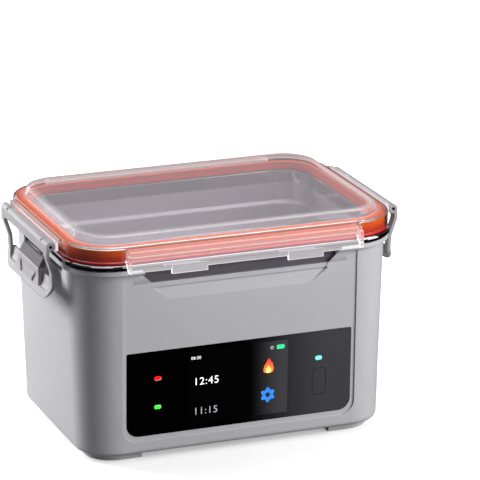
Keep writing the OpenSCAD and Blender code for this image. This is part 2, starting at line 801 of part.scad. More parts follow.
module food_pot() color(steel) {
    band(pot_w, pot_d, pot_r) pot_section();
    inner = 13;
    plate(pot_w - 2 * inner, pot_d - 2 * inner, pot_r - inner, pot_base_z, pot_t);
}

// ==== Lid ========================================================================

// Section of the lid outside the pot's mouth: outer wall, ledge, raised middle
module lid_section() {
    t = lid_t;
    polygon(rounded([
        [lid_out - t, lid_wall_z, 0.4],
        [lid_out, lid_wall_z, 0.4],
        [lid_out, ledge_z, 1.5],
        [dome_out + 0.9, ledge_z + ledge_rise, 0.8],
        [dome_out, lid_top_z, 2.2],
        [-6, lid_top_z],
        [-6, lid_top_z - t],
        [dome_out - t, lid_top_z - t, 1],
        [dome_out + 0.9 - t, ledge_z + ledge_rise - t, 1.2],
        [lid_out - t, ledge_z - t, 0.6]
    ], 5));
}

// Section of the front and rear skirts, outside the lid's wall, in two steps
module skirt_section() {
    t = lid_t;
    polygon(rounded([
        [-0.8, skirt_top],
        [skirt_out - 2.8, skirt_top - 1.2, 0.8],
        [skirt_out - 2.4, skirt_top - 1.2 - skirt_step, 0.3],
        [skirt_out, skirt_top - 2 - skirt_step, 1],
        [skirt_out, skirt_z, 0.5],
        [skirt_out - t, skirt_z, 0.5],
        [skirt_out - t, skirt_top - 3.2 - skirt_step, 0.5],
        [skirt_out - 2.4 - t, skirt_top - 2.6 - skirt_step, 0.3],
        [skirt_out - 3.2 - t, skirt_top - 1 - t, 0.5],
        [-0.8, skirt_top - t]
    ], 3));
}

module skirt() {
    y = pot_d / 2 + lid_out;
    translate([0, -y, 0]) rotate([90, 0, -90]) {
        linear_extrude(2 * skirt_half, center = true) skirt_section();
        for (s = [-1, 1]) translate([0, 0, s * (skirt_half - lid_t / 2)])
            linear_extrude(lid_t, center = true) polygon([
                [-0.8, skirt_top - 1], [skirt_out - 3, skirt_top - 2], [skirt_out - 2.6, skirt_top - 3.4],
                [skirt_out - 1, skirt_top - 5], [skirt_out - 1, skirt_z], [skirt_out - 3, skirt_z],
                [-0.8, lid_wall_z + 2]
            ]);
        for (s = [-1, 1]) translate([skirt_out - lid_t, skirt_z - tab_h, s * tab_x - tab_w / 2])
            cube([lid_t + tab_out, tab_h + 3, tab_w]);
    }
}

// Side shelf and the two ears that hold a latch's hinge pin, on the +X side
module hinge_shelf() {
    x0 = pot_w / 2 + lid_out - 0.8;
    x1 = hinge_x - barrel_r - gap;
    half = latch_half;
    arm = 1.2;
    block([x0, -half, ledge_z - 0.4 - lid_t], [x1, half, ledge_z - 0.4]);
    block([x1 - lid_t, -half, hinge_z - barrel_r], [x1, half, ledge_z - 1]);
    for (y = [-ear_y, ear_y]) difference() {
        union() {
            bar_y(ear_r, y - ear_t / 2, y + ear_t / 2, hinge_x, hinge_z);
            block([x1 - lid_t, y - ear_t / 2, hinge_z - arm], [hinge_x, y + ear_t / 2, hinge_z + arm]);
        }
        bar_y(pin_r, y - ear_t, y + ear_t, hinge_x, hinge_z);
    }
}

module lid() color(clear) {
    band(pot_w, pot_d, pot_r) lid_section();
    inner = 5;
    plate(pot_w - 2 * inner, pot_d - 2 * inner, pot_r - inner, lid_top_z - lid_t, lid_t);
    for (t = [0, 180]) rotate([0, 0, t]) {
        skirt();
        hinge_shelf();
    }
}

// Section of the gasket: a ring in the lid's channel with ribs on its top, a leg
// that presses on the pot's flange and a lip over the pot's raised rim
module gasket_section() {
    outer = lid_out - lid_t - seat_gap;
    inner = dome_out - 1.2;
    rib = (outer - 3) / 4;
    polygon(rounded(concat(
        [[3, gasket_z, 0.6], [lid_out - 0.2, gasket_z, 0.6], [lid_out - 0.2, lid_wall_z - 0.2, 0.5],
         [outer, lid_wall_z - 0.1], [outer, gasket_top, 0.4]],
        [for (i = [0 : 3], e = [0, 1, 2])
            let (x = outer - 0.3 - i * rib)
            e == 0 ? [x - 0.5, gasket_top] : e == 1 ? [x - rib / 2, gasket_top - 1] : [x - rib + 0.1, gasket_top]],
        [[inner, gasket_top, 0.5], [inner - 1.6, pot_rim_z + gap, 0.5], [3, pot_rim_z + gap, 0.4]]
    ), 3));
}

module lid_gasket() color(gasket_red) band(pot_w, pot_d, pot_r) gasket_section();

// ==== Latches ====================================================================

// Side view of the latch plate: a straight head, an inward waist, a flared foot
module latch_section() {
    t = latch_t;
    polygon(rounded([
        [latch_out, hinge_z], [latch_out, knee_z, 5], [latch_waist + 0.3, tongue_top - 2, 5],
        [latch_waist, waist_z, 8], [latch_out - 0.3, latch_foot_z, 0.9],
        [latch_out - 0.3 - t, latch_foot_z, 0.9], [latch_waist - t, waist_z - 0.6, 8],
        [latch_waist + 0.3 - t, tongue_top - 1.6, 5], [latch_out - t, knee_z + 0.4, 5], [latch_out - t, hinge_z]
    ]));
}

// Side view of the web that closes the foot of the window, hollow to the outside
module web_section() {
    x = latch_waist;
    polygon(rounded([
        [x + 1.5, web_z - 1], [x - 1, web_z + 2.2, 3], [x - 2.4, window_low, 0.4],
        [x - 4, window_low, 0.4], [x - 2.8, web_z + 1.4, 3], [x + 0.4, web_z - 1]
    ]));
}

// Side view of the raised panel, whose top runs in to the tongue under the lip
module tongue_section() {
    x = latch_waist;
    t = latch_t;
    polygon(rounded([
        [tongue_nose, tongue_top, 0.5], [tongue_nose + 2, tongue_top + 0.2, 0.6], [panel_out, panel_top, 0.8],
        [panel_out + 0.2, waist_z, 6], [x + 2.2, web_z - 0.8], [x + 0.6, web_z - 0.8],
        [x - t + 0.6, waist_z, 6], [x - t + 0.2, panel_top - 2, 2], [tongue_nose, tongue_top - 3.4, 0.8]
    ]));
}

// Front view of the latch plate, with a rounded foot
module latch_outline() {
    h = latch_half;
    polygon(rounded([
        [-h + 2, latch_foot_z, 15], [h - 2, latch_foot_z, 15], [h, hinge_z - barrel_r, 1],
        [h, hinge_z], [-h, hinge_z], [-h, hinge_z - barrel_r, 1]
    ], 8));
}

// Front view of the window and, below it, of the web and the panel
module window_outline(top) {
    polygon(rounded([
        [-window_half, web_z, 7], [window_half, web_z, 7], [window_half, top, 1.5], [-window_half, top, 1.5]
    ], 6));
}

// Front view of the raised panel and its tongue
module panel_outline() {
    low = panel_half + panel_flare;
    polygon(rounded([
        [-low, web_z - 1], [low, web_z - 1], [panel_half, panel_top, 4], [panel_half, tongue_top + 1],
        [-panel_half, tongue_top + 1], [-panel_half, panel_top, 4]
    ]));
}

// Prism of a 2D outline seen from the side, across the latch
module side_prism() {
    translate([hinge_x - 15, 0, 0]) rotate([90, 0, 90]) linear_extrude(30) children();
}

// Prism of a side view, half on each side of the middle
module across(half) {
    rotate([90, 0, 0]) linear_extrude(2 * half, center = true) children();
}

// Room for one of the lid's ears, open where its arm passes as the latch turns
module ear_room(y) {
    half = ear_t / 2 + gap;
    reach = barrel_r + 4;
    bar_y(ear_r + gap, y - half, y + half, hinge_x, hinge_z);
    translate([hinge_x, y, hinge_z]) across(half)
        polygon(concat([[0, 0]], [for (a = [25 : 20.1 : 226]) reach * [cos(a), sin(a)]]));
}

// The latch on the +X side
module latch() {
    difference() {
        union() {
            difference() {
                intersection() {
                    across(latch_half) latch_section();
                    side_prism() latch_outline();
                }
                side_prism() window_outline(window_top);
            }
            intersection() {
                across(window_half + 1) web_section();
                side_prism() latch_outline();
            }
            intersection() {
                across(latch_half) tongue_section();
                side_prism() panel_outline();
            }
            bar_y(barrel_r, -latch_half, latch_half, hinge_x, hinge_z);
        }
        bar_y(pin_r + pin_gap, -latch_half - 1, latch_half + 1, hinge_x, hinge_z);
        for (y = [-ear_y, ear_y]) ear_room(y);
        for (s = [-1, 1]) side_prism() translate([s * (panel_half - 7), window_low - 4.6])
            rotate([0, 0, s * -40]) rounded_rect(3.4, 8.6, 1.65);
    }
}

module latch_right() color(latch_grey) latch();
module latch_left() color(latch_grey) rotate([0, 0, 180]) latch();

module hinge_pins() color([0.7, 0.7, 0.72])
    for (t = [0, 180]) rotate([0, 0, t]) bar_y(pin_r, -latch_half + 0.2, latch_half - 0.2, hinge_x, hinge_z);

// ==== Output =====================================================================

housing();
base_cover();
corner_feet();
base_screws();
front_glass();
display_module();
display_board();
light_pipes();
power_button();
button_switch();
heating_well();
well_seal();
heater_plate();
heater_film();
insulation_wrap();
insulation_pad();
heater_deck();
deck_screws();
thermal_fuse();
temperature_sensor();
main_board();
buzzer();
battery_cells();
cell_holder();
cell_straps();
battery_board();
charging_inlet();
inlet_nut();
food_pot();
lid();
lid_gasket();
latch_left();
latch_right();
hinge_pins();
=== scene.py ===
"""Looks of the electric lunch box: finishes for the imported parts, the lit display, the lamps and a soft studio."""

import logging
import math
from dataclasses import dataclass, field
from enum import Enum

import bmesh
import bpy
from mathutils import Matrix, Vector

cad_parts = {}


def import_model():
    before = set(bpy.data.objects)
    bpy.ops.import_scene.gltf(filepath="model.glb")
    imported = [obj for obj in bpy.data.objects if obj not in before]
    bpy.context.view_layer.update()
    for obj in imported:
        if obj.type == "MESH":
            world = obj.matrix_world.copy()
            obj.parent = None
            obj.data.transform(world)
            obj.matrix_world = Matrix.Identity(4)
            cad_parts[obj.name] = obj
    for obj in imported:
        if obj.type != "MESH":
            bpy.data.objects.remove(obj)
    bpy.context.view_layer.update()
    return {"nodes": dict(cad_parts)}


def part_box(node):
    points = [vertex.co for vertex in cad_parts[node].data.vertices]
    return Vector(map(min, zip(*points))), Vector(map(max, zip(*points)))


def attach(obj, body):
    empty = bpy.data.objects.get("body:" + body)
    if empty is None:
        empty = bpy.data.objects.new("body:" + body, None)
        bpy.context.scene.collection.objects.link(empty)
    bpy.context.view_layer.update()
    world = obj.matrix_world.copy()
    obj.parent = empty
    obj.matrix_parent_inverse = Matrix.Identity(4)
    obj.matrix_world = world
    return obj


Colour = tuple[float, float, float]
Triple = tuple[float, float, float]
Socket = bpy.types.NodeSocket

LOG = logging.getLogger("lunch_box")
MM = 0.001
PHOTO_SIDE = 480
UP: Triple = (0, 0, 1)
TO_THE_RIGHT: Triple = (1, 0, 0)
EDGE_BLUR = 0.3 * MM
NOISE_RANGE = (0.3, 0.7)
MOUTH_MIDDLE: Triple = (77.5 * MM, 48.0 * MM, 0.0)
MOUTH_RADIUS = 20.1 * MM


def shade(red: float, green: float, blue: float) -> Colour:
    """Turns an 8-bit screen colour into the linear values that shaders use.

    Args:
        red: Red, 0 to 255.
        green: Green, 0 to 255.
        blue: Blue, 0 to 255.

    Returns:
        The linear colour.
    """
    return tuple(((v / 255 + 0.055) / 1.055) ** 2.4 if v > 10 else v / 255 / 12.92 for v in (red, green, blue))


class Body(Enum):
    """The rigid bodies that pieces ride on."""

    BASE = "base"
    POT = "pot"
    LID = "lid"
    LEFT_LATCH = "left_latch"
    RIGHT_LATCH = "right_latch"
    BUTTON = "button"


# ---- Shader helpers ---------------------------------------------------------------


class Graph:
    """Adds and joins the nodes of one tree."""

    def __init__(self, tree: bpy.types.NodeTree) -> None:
        """Keeps the tree that nodes are added to."""
        self.tree = tree

    def node(self, kind: str, inputs: dict[str | int, object] | None = None, **settings: object) -> bpy.types.Node:
        """Adds one node.

        Args:
            kind: Blender's name of the node type.
            inputs: What each input socket is set to, or the output socket that feeds it.
            **settings: Properties of the node itself.

        Returns:
            The new node.
        """
        made = self.tree.nodes.new(kind)
        for key, value in settings.items():
            setattr(made, key, value)
        for key, value in (inputs or {}).items():
            if isinstance(value, Socket):
                self.tree.links.new(value, made.inputs[key])
            else:
                made.inputs[key].default_value = value
        return made

    def position(self) -> Socket:
        """Returns the socket with the point's place on the object, in metres."""
        return self.node("ShaderNodeTexCoord").outputs["Object"]

    def math(self, operation: str, a: object, b: object = 0.0) -> Socket:
        """Returns the result of one sum on two values or sockets."""
        return self.node("ShaderNodeMath", {0: a, 1: b}, operation=operation).outputs[0]

    def vector(self, operation: str, a: object, b: object = (0, 0, 0)) -> Socket:
        """Returns the vector that one sum on two vectors or sockets gives."""
        return self.node("ShaderNodeVectorMath", {0: a, 1: b}, operation=operation).outputs["Vector"]

    def measure(self, operation: str, a: object, b: object = (0, 0, 0)) -> Socket:
        """Returns the number that one sum on two vectors or sockets gives, such as a length."""
        return self.node("ShaderNodeVectorMath", {0: a, 1: b}, operation=operation).outputs["Value"]

    def ramp(self, value: object, low: float, high: float, to_low: float, to_high: float) -> Socket:
        """Returns value carried from the range low..high to the range to_low..to_high."""
        inputs = {"Value": value, "From Min": low, "From Max": high, "To Min": to_low, "To Max": to_high}
        return self.node("ShaderNodeMapRange", inputs).outputs["Result"]

    def vary(self, noise: Socket, low: float, high: float) -> Socket:
        """Returns a value that follows a noise from low to high."""
        return self.ramp(noise, *NOISE_RANGE, low, high)

    def blend(self, mask: object, first: object, second: object) -> Socket:
        """Returns a colour between two colours, by a mask from 0 to 1."""
        first, second = (value if isinstance(value, Socket) else (*value, 1.0) for value in (first, second))
        return self.node("ShaderNodeMix", {0: mask, 6: first, 7: second}, data_type="RGBA").outputs[2]

    def bump(self, height: Socket, strength: float, distance: float) -> Socket:
        """Returns the normal that a height gives, with its full distance in metres."""
        return self.node("ShaderNodeBump", {"Height": height, "Strength": strength, "Distance": distance}).outputs[0]

    def principled(self, inputs: dict[str, object]) -> Socket:
        """Returns a Principled shader with the given inputs."""
        return self.node("ShaderNodeBsdfPrincipled", inputs).outputs[0]

    def choose(self, mask: Socket, first: Socket, second: Socket) -> Socket:
        """Returns the first shader where the mask is 0 and the second where it is 1."""
        return self.node("ShaderNodeMixShader", {0: mask, 1: first, 2: second}).outputs[0]


class Effect:
    """The shader groups that several finishes share, each built once."""

    GRAIN = "moulded_grain"
    BRUSH = "brushed_lines"
    FADE = "fade_along"
    OUTSIDE = "outside_outline"
    ZONE = "inside_box"
    NUMBER = "NodeSocketFloat"
    VECTOR = "NodeSocketVector"

    @staticmethod
    def _group(name: str, inputs: dict[str, str],
               outputs: tuple[str, ...]) -> tuple[Graph, bpy.types.NodeOutputs, bpy.types.NodeInputs]:
        """Makes an empty group with named sockets.

        Args:
            name: The group's name.
            inputs: Socket name to socket type.
            outputs: Names of the number sockets that it puts out.

        Returns:
            The group's graph, the sockets it is given and the sockets it puts out.
        """
        tree = bpy.data.node_groups.new(name, "ShaderNodeTree")
        for side, sockets in (("INPUT", inputs), ("OUTPUT", dict.fromkeys(outputs, Effect.NUMBER))):
            for label, kind in sockets.items():
                tree.interface.new_socket(label, in_out=side, socket_type=kind)
        graph = Graph(tree)
        start = graph.node("NodeGroupInput")
        end = graph.node("NodeGroupOutput")
        return graph, start.outputs, end.inputs

    @classmethod
    def grain(cls) -> bpy.types.NodeTree:
        """Gives the fine grain of moulded plastic.

        Returns:
            The group, with Height for bump and Mottle for tone and roughness.
        """
        if cls.GRAIN in bpy.data.node_groups:
            return bpy.data.node_groups[cls.GRAIN]
        ins = {"Position": cls.VECTOR, "Fineness": cls.NUMBER, "Patch": cls.NUMBER}
        graph, given, out = cls._group(cls.GRAIN, ins, ("Height", "Mottle"))
        fine = {"Vector": given["Position"], "Scale": given["Fineness"], "Detail": 3.0, "Roughness": 0.6}
        broad = {"Vector": given["Position"], "Scale": given["Patch"], "Detail": 2.0}
        graph.tree.links.new(graph.node("ShaderNodeTexNoise", fine).outputs[0], out["Height"])
        graph.tree.links.new(graph.node("ShaderNodeTexNoise", broad).outputs[0], out["Mottle"])
        return graph.tree

    @classmethod
    def brush(cls) -> bpy.types.NodeTree:
        """Gives fine lines that run across the stretched direction.

        Returns:
            The group, with Lines, a mask from 0 to 1.
        """
        if cls.BRUSH in bpy.data.node_groups:
            return bpy.data.node_groups[cls.BRUSH]
        ins = {"Position": cls.VECTOR, "Stretch": cls.VECTOR, "Fineness": cls.NUMBER}
        graph, given, out = cls._group(cls.BRUSH, ins, ("Lines",))
        spread = graph.vector("MULTIPLY", given["Position"], given["Stretch"])
        fine = {"Vector": spread, "Scale": given["Fineness"], "Detail": 4.0, "Roughness": 0.7}
        graph.tree.links.new(graph.node("ShaderNodeTexNoise", fine).outputs[0], out["Lines"])
        return graph.tree

    @classmethod
    def fade(cls) -> bpy.types.NodeTree:
        """Gives a smooth fade along a direction.

        Returns:
            The group, with Mask, 0 before Start and 1 after End.
        """
        if cls.FADE in bpy.data.node_groups:
            return bpy.data.node_groups[cls.FADE]
        ins = {"Position": cls.VECTOR, "Direction": cls.VECTOR, "Start": cls.NUMBER, "End": cls.NUMBER}
        graph, given, out = cls._group(cls.FADE, ins, ("Mask",))
        along = graph.measure("DOT_PRODUCT", given["Position"], given["Direction"])
        mask = graph.node("ShaderNodeMapRange", {"Value": along, "From Min": given["Start"], "From Max": given["End"]},
                          interpolation_type="SMOOTHSTEP").outputs["Result"]
        graph.tree.links.new(mask, out["Mask"])
        return graph.tree

    @classmethod
    def outside(cls) -> bpy.types.NodeTree:
        """Gives how far a point is outside the pot's mouth.

        Returns:
            The group, with Distance in metres.
        """
        if cls.OUTSIDE in bpy.data.node_groups:
            return bpy.data.node_groups[cls.OUTSIDE]
        ins = {"Position": cls.VECTOR, "Middle": cls.VECTOR, "Radius": cls.NUMBER}
        graph, given, out = cls._group(cls.OUTSIDE, ins, ("Distance",))
        flat = graph.vector("MULTIPLY", graph.vector("ABSOLUTE", given["Position"]), (1, 1, 0))
        beyond = graph.vector("MAXIMUM", graph.vector("SUBTRACT", flat, given["Middle"]), (0, 0, 0))
        reach = graph.measure("LENGTH", beyond)
        graph.tree.links.new(graph.math("SUBTRACT", reach, given["Radius"]), out["Distance"])
        return graph.tree

    @classmethod
    def zone(cls) -> bpy.types.NodeTree:
        """Gives where a point lies in a box that repeats in both signs of X and Y.

        Returns:
            The group, with Mask, 0 to 1.
        """
        if cls.ZONE in bpy.data.node_groups:
            return bpy.data.node_groups[cls.ZONE]
        ins = {"Position": cls.VECTOR, "Low": cls.VECTOR, "High": cls.VECTOR}
        graph, given, out = cls._group(cls.ZONE, ins, ("Mask",))
        place = graph.vector("ABSOLUTE", given["Position"])
        inside = []
        for first, second in ((place, given["Low"]), (given["High"], place)):
            inward = graph.node("ShaderNodeSeparateXYZ", {0: graph.vector("SUBTRACT", first, second)})
            inside += [graph.ramp(side, 0.0, EDGE_BLUR, 0.0, 1.0) for side in inward.outputs]
        mask = inside[0]
        for side in inside[1:]:
            mask = graph.math("MULTIPLY", mask, side)
        graph.tree.links.new(mask, out["Mask"])
        return graph.tree


@dataclass(frozen=True)
class Finish:
    """What every finish has: a name, a colour and a way to lay its nodes."""

    name: str
    colour: Colour
    roughness: float = 0.4

    def material(self) -> bpy.types.Material:
        """Builds the finish's material on first use, named apart from the frame's own.

        Returns:
            The material.
        """
        title = f"{self.name}_finish"
        if title in bpy.data.materials:
            return bpy.data.materials[title]
        made = bpy.data.materials.new(title)
        made.use_nodes = True
        made.node_tree.nodes.clear()
        graph = Graph(made.node_tree)
        graph.node("ShaderNodeOutputMaterial", {"Surface": self.surface(graph)})
        return made

    def surface(self, graph: Graph) -> Socket:
        """Lays the finish's shader and returns its output."""
        raise NotImplementedError

    def dress(self, item: bpy.types.Object) -> None:
        """Puts the finish on an object.

        Args:
            item: The object, whose material slots all take the finish.
        """
        if not item.material_slots:
            item.data.materials.append(self.material())
        for place in item.material_slots:
            place.material = self.material()

    @staticmethod
    def effect(graph: Graph, tree: bpy.types.NodeTree, inputs: dict[str, object]) -> bpy.types.Node:
        """Places a shared effect in a finish, with its own values."""
        return graph.node("ShaderNodeGroup", inputs, node_tree=tree)

    def grain(self, graph: Graph, place: Socket, fineness: float, patch: float) -> tuple[Socket, Socket]:
        """Returns the height and the mottle of the moulded grain."""
        placed = self.effect(graph, Effect.grain(), {"Position": place, "Fineness": fineness, "Patch": patch})
        return placed.outputs["Height"], placed.outputs["Mottle"]

    def brush(self, graph: Graph, place: Socket, stretch: Triple, fineness: float) -> Socket:
        """Returns the brushed lines."""
        inputs = {"Position": place, "Stretch": stretch, "Fineness": fineness}
        return self.effect(graph, Effect.brush(), inputs).outputs["Lines"]

    def fade(self, graph: Graph, place: Socket, start: float, end: float, along: Triple = UP) -> Socket:
        """Returns a mask that is 0 before start and 1 after end, along a direction."""
        inputs = {"Position": place, "Direction": along, "Start": start, "End": end}
        return self.effect(graph, Effect.fade(), inputs).outputs["Mask"]

    def outside(self, graph: Graph, place: Socket) -> Socket:
        """Returns how far a place is outside the pot's mouth."""
        inputs = {"Position": place, "Middle": MOUTH_MIDDLE, "Radius": MOUTH_RADIUS}
        return self.effect(graph, Effect.outside(), inputs).outputs["Distance"]


@dataclass(frozen=True)
class MouldedPlastic(Finish):
    """Injection-moulded plastic with a fine spark-eroded grain."""

    fineness: float = 2600.0
    patch: float = 18.0
    depth: float = 0.05
    relief: float = 0.2 * MM
    tone: float = 0.03
    gloss_range: float = 0.03
    coat: float = 0.0
    coat_roughness: float = 0.12

    def surface(self, graph: Graph) -> Socket:
        """Lays the grain as bump and a faint mottle as tone and gloss.

        Args:
            graph: The material's graph.

        Returns:
            The shader.
        """
        place = graph.position()
        height, mottle = self.grain(graph, place, self.fineness, self.patch)
        dark = tuple(c * (1 - self.tone) for c in self.colour)
        light = tuple(min(1.0, c * (1 + self.tone)) for c in self.colour)
        return graph.principled({
            "Base Color": self.tone_with_painted_light(graph, place, graph.blend(mottle, dark, light)),
            "Roughness": graph.vary(mottle, self.roughness - self.gloss_range, self.roughness + self.gloss_range),
            "Coat Weight": self.coat, "Coat Roughness": self.coat_roughness,
            "Normal": graph.bump(height, self.depth, self.relief)})

    def tone_with_painted_light(self, graph: Graph, place: Socket, tone: Socket) -> Socket:
        """Returns the tone at a place, here the same all over."""
        return tone


@dataclass(frozen=True)
class Zone:
    """A box that repeats in both signs of X and Y."""

    low: Triple
    high: Triple


@dataclass(frozen=True)
class RecessedPlastic(MouldedPlastic):
    """Moulded plastic with painted shade: its colour is darker in the slots where little light reaches."""

    slots: tuple[Zone, ...] = ()
    shaded: Colour = (0.1, 0.1, 0.1)

    def tone_with_painted_light(self, graph: Graph, place: Socket, tone: Socket) -> Socket:
        """Paints shade into the tone inside the slots.

        Args:
            graph: The material's graph.
            place: The point's place on the object.
            tone: The plastic's tone in the open.

        Returns:
            The tone at the place.
        """
        for slot in self.slots:
            inputs = {"Position": place, "Low": slot.low, "High": slot.high}
            mask = self.effect(graph, Effect.zone(), inputs).outputs["Mask"]
            tone = graph.blend(mask, tone, self.shaded)
        return tone


@dataclass(frozen=True)
class ClearPlastic(Finish):
    """Clear moulded plastic with a painted glow, faint all over and pale along its skirts and its raised middle's
    wall.
    """

    index: float = 1.4
    # Painted light: the colours of the lid's glow, pale in its zones and faint elsewhere.
    pale: Colour = (0.22, 0.208, 0.212)
    faint: Colour = (0.004, 0.004, 0.004)
    let_through: Colour = (0.94, 0.94, 0.95)
    skirt_from: float = 11.1 * MM
    skirt_foot: tuple[float, float] = (131.6 * MM, 134.2 * MM)
    skirt_glow: tuple[float, float] = (1.0, 0.56)
    dome_reach: float = 3.6 * MM
    dome_glow: tuple[float, float] = (0.24, 0.56)
    ledge_height: float = 143.7 * MM
    fineness: float = 60.0
    patch: float = 9.0
    depth: float = 0.02
    relief: float = 0.5 * MM
    gloss_range: float = 0.02

    def surface(self, graph: Graph) -> Socket:
        """Lays a clear shader with a painted glow that is pale in some zones, and lets shadow rays pass.

        Args:
            graph: The material's graph.

        Returns:
            The shader.
        """
        place = graph.position()
        outside = self.outside(graph, place)
        above = self.fade(graph, place, self.ledge_height, self.ledge_height + EDGE_BLUR)
        height = graph.node("ShaderNodeSeparateXYZ", {0: place}).outputs["Z"]
        # Painted light: the glow is pale along the skirts and on the raised middle's wall.
        skirt = graph.math("MULTIPLY", graph.ramp(outside, self.skirt_from, self.skirt_from + EDGE_BLUR, 0.0, 1.0),
                           graph.ramp(height, *self.skirt_foot, *self.skirt_glow))
        dome = graph.math("MULTIPLY", above, graph.ramp(outside, -self.dome_reach, 0.0, *self.dome_glow))
        glow_mask = graph.math("MAXIMUM", skirt, dome)
        grain, mottle = self.grain(graph, place, self.fineness, self.patch)
        clear = graph.principled({
            "Base Color": (*self.colour, 1.0), "IOR": self.index,
            "Roughness": graph.vary(mottle, self.roughness, self.roughness + self.gloss_range),
            "Emission Color": graph.blend(glow_mask, self.faint, self.pale), "Emission Strength": 1.0,
            "Transmission Weight": 1.0, "Normal": graph.bump(grain, self.depth, self.relief)})
        passing = graph.node("ShaderNodeBsdfTransparent", {"Color": (*self.let_through, 1.0)}).outputs[0]
        shadow = graph.node("ShaderNodeLightPath").outputs["Is Shadow Ray"]
        return graph.choose(shadow, clear, passing)


@dataclass(frozen=True)
class Silicone(Finish):
    """Soft silicone: lighter at the top of the ring, with painted shade on its inner face and in its grooves."""

    deep: Colour = (0.3, 0.01, 0.005)
    inner_shade: Colour = (0.3, 0.05, 0.05)
    low: float = 0.0
    high: float = 1.0
    inner: float = 1.5 * MM
    groove: float = 8.1 * MM
    pitch: float = 1.55 * MM
    groove_from: float = 0.2
    groove_shade_strength: float = 0.85
    fineness: float = 900.0
    patch: float = 25.0
    depth: float = 0.04
    relief: float = 0.2 * MM
    gloss_range: float = 0.05
    softness: float = 0.15
    soft_reach: Triple = (4.0 * MM, 1.2 * MM, 0.6 * MM)

    def surface(self, graph: Graph) -> Socket:
        """Lays a fade from the deep colour up to the light one, over a soft sheen, with painted shade on the inner
        face and in the grooves.

        Args:
            graph: The material's graph.

        Returns:
            The shader.
        """
        place = graph.position()
        rise = self.fade(graph, place, self.low, self.high)
        outside = self.outside(graph, place)
        # Painted shade: in the grooves the colour darkens towards the deep one.
        turns = graph.math("MULTIPLY", graph.math("SUBTRACT", outside, self.groove), 2 * math.pi / self.pitch)
        groove_shade_mask = graph.ramp(graph.math("COSINE", turns), self.groove_from, 1.0, 0.0, self.groove_shade_strength)
        # Painted shade: the ring's inner face takes a darker colour.
        wall = graph.ramp(outside, self.inner, self.inner + EDGE_BLUR, 1.0, 0.0)
        body = graph.blend(wall, graph.blend(rise, self.deep, self.colour), self.inner_shade)
        height, mottle = self.grain(graph, place, self.fineness, self.patch)
        return graph.principled({
            "Base Color": graph.blend(groove_shade_mask, body, self.deep),
            "Roughness": graph.vary(mottle, self.roughness - self.gloss_range, self.roughness + self.gloss_range),
            "Subsurface Weight": self.softness, "Subsurface Radius": self.soft_reach,
            "Normal": graph.bump(height, self.depth, self.relief)})


@dataclass(frozen=True)
class Steel(Finish):
    """Drawn metal: brushed walls, and a polished edge above a given height."""

    polished: float = 0.06
    edge_from: float = 10.0
    edge_fade: float = 1.0 * MM
    satin: float = 0.0
    stretch: Triple = (1.0, 1.0, 40.0)
    fineness: float = 90.0
    gloss_range: float = 0.15
    dulled: float = 0.96
    depth: float = 0.01
    relief: float = 0.1 * MM

    def surface(self, graph: Graph) -> Socket:
        """Lays fine lines in the gloss, and a polished band above the edge height, over satin walls.

        Args:
            graph: The material's graph.

        Returns:
            The shader.
        """
        place = graph.position()
        lines = self.brush(graph, place, self.stretch, self.fineness)
        edge = self.fade(graph, place, self.edge_from - self.edge_fade, self.edge_from)
        brushed = graph.vary(lines, self.roughness * (1 - self.gloss_range), self.roughness * (1 + self.gloss_range))
        gap = graph.math("SUBTRACT", self.polished, brushed)
        dull = tuple(c * self.dulled for c in self.colour)
        return graph.principled({
            "Base Color": graph.blend(lines, dull, self.colour),
            "Roughness": graph.math("ADD", brushed, graph.math("MULTIPLY", edge, gap)),
            "Metallic": graph.ramp(edge, 0.0, 1.0, 1.0 - self.satin, 1.0),
            "Normal": graph.bump(lines, self.depth, self.relief)})


@dataclass(frozen=True)
class SmokedPane(Finish):
    """Black gloss pane whose colour lightens towards one side, a painted reflection on the front pane."""

    # The lighter end of the fade, a painted reflection on the front pane.
    light: Colour = (0.05, 0.05, 0.06)
    start: float = 0.0
    end: float = 62.0 * MM
    glow: float = 0.0
    specular: float = 0.12
    fineness: float = 300.0
    patch: float = 12.0
    gloss_range: float = 0.03

    def surface(self, graph: Graph) -> Socket:
        """Lays the colour's fade along X, a painted reflection on the front pane, under an even gloss.

        Args:
            graph: The material's graph.

        Returns:
            The shader.
        """
        place = graph.position()
        tone_with_painted_light = graph.blend(self.fade(graph, place, self.start, self.end, TO_THE_RIGHT), self.colour, self.light)
        mottle = self.grain(graph, place, self.fineness, self.patch)[1]
        return graph.principled({
            "Base Color": tone_with_painted_light, "Specular IOR Level": self.specular,
            "Roughness": graph.vary(mottle, self.roughness, self.roughness + self.gloss_range),
            "Emission Color": tone_with_painted_light, "Emission Strength": self.glow})


@dataclass(frozen=True)
class Lit(Finish):
    """A lit mark on the display or a lamp, which may fade upwards to a second colour."""

    power: float = 1.0
    second: Colour | None = None
    low: float = 0.0
    high: float = 1.0
    specular: float = 0.1

    def surface(self, graph: Graph) -> Socket:
        """Lays the glowing colour.

        Args:
            graph: The material's graph.

        Returns:
            The shader.
        """
        rise = self.fade(graph, graph.position(), self.low, self.high)
        glow = graph.blend(rise, self.colour, self.second or self.colour)
        return graph.principled({
            "Base Color": glow, "Roughness": self.roughness, "Specular IOR Level": self.specular,
            "Emission Color": glow, "Emission Strength": self.power})


@dataclass(frozen=True)
class Felt(Finish):
    """Needled insulation felt."""

    stretch: Triple = (3, 3, 1)
    fineness: float = 260.0
    dulled: float = 0.75
    depth: float = 0.6
    relief: float = 0.6 * MM

    def surface(self, graph: Graph) -> Socket:
        """Lays crossed fibres as bump and tone.

        Args:
            graph: The material's graph.

        Returns:
            The shader.
        """
        fibres = self.brush(graph, graph.position(), self.stretch, self.fineness)
        dull = tuple(c * self.dulled for c in self.colour)
        return graph.principled({
            "Base Color": graph.blend(fibres, dull, self.colour), "Roughness": self.roughness,
            "Normal": graph.bump(fibres, self.depth, self.relief)})


# ---- Mesh helpers -----------------------------------------------------------------


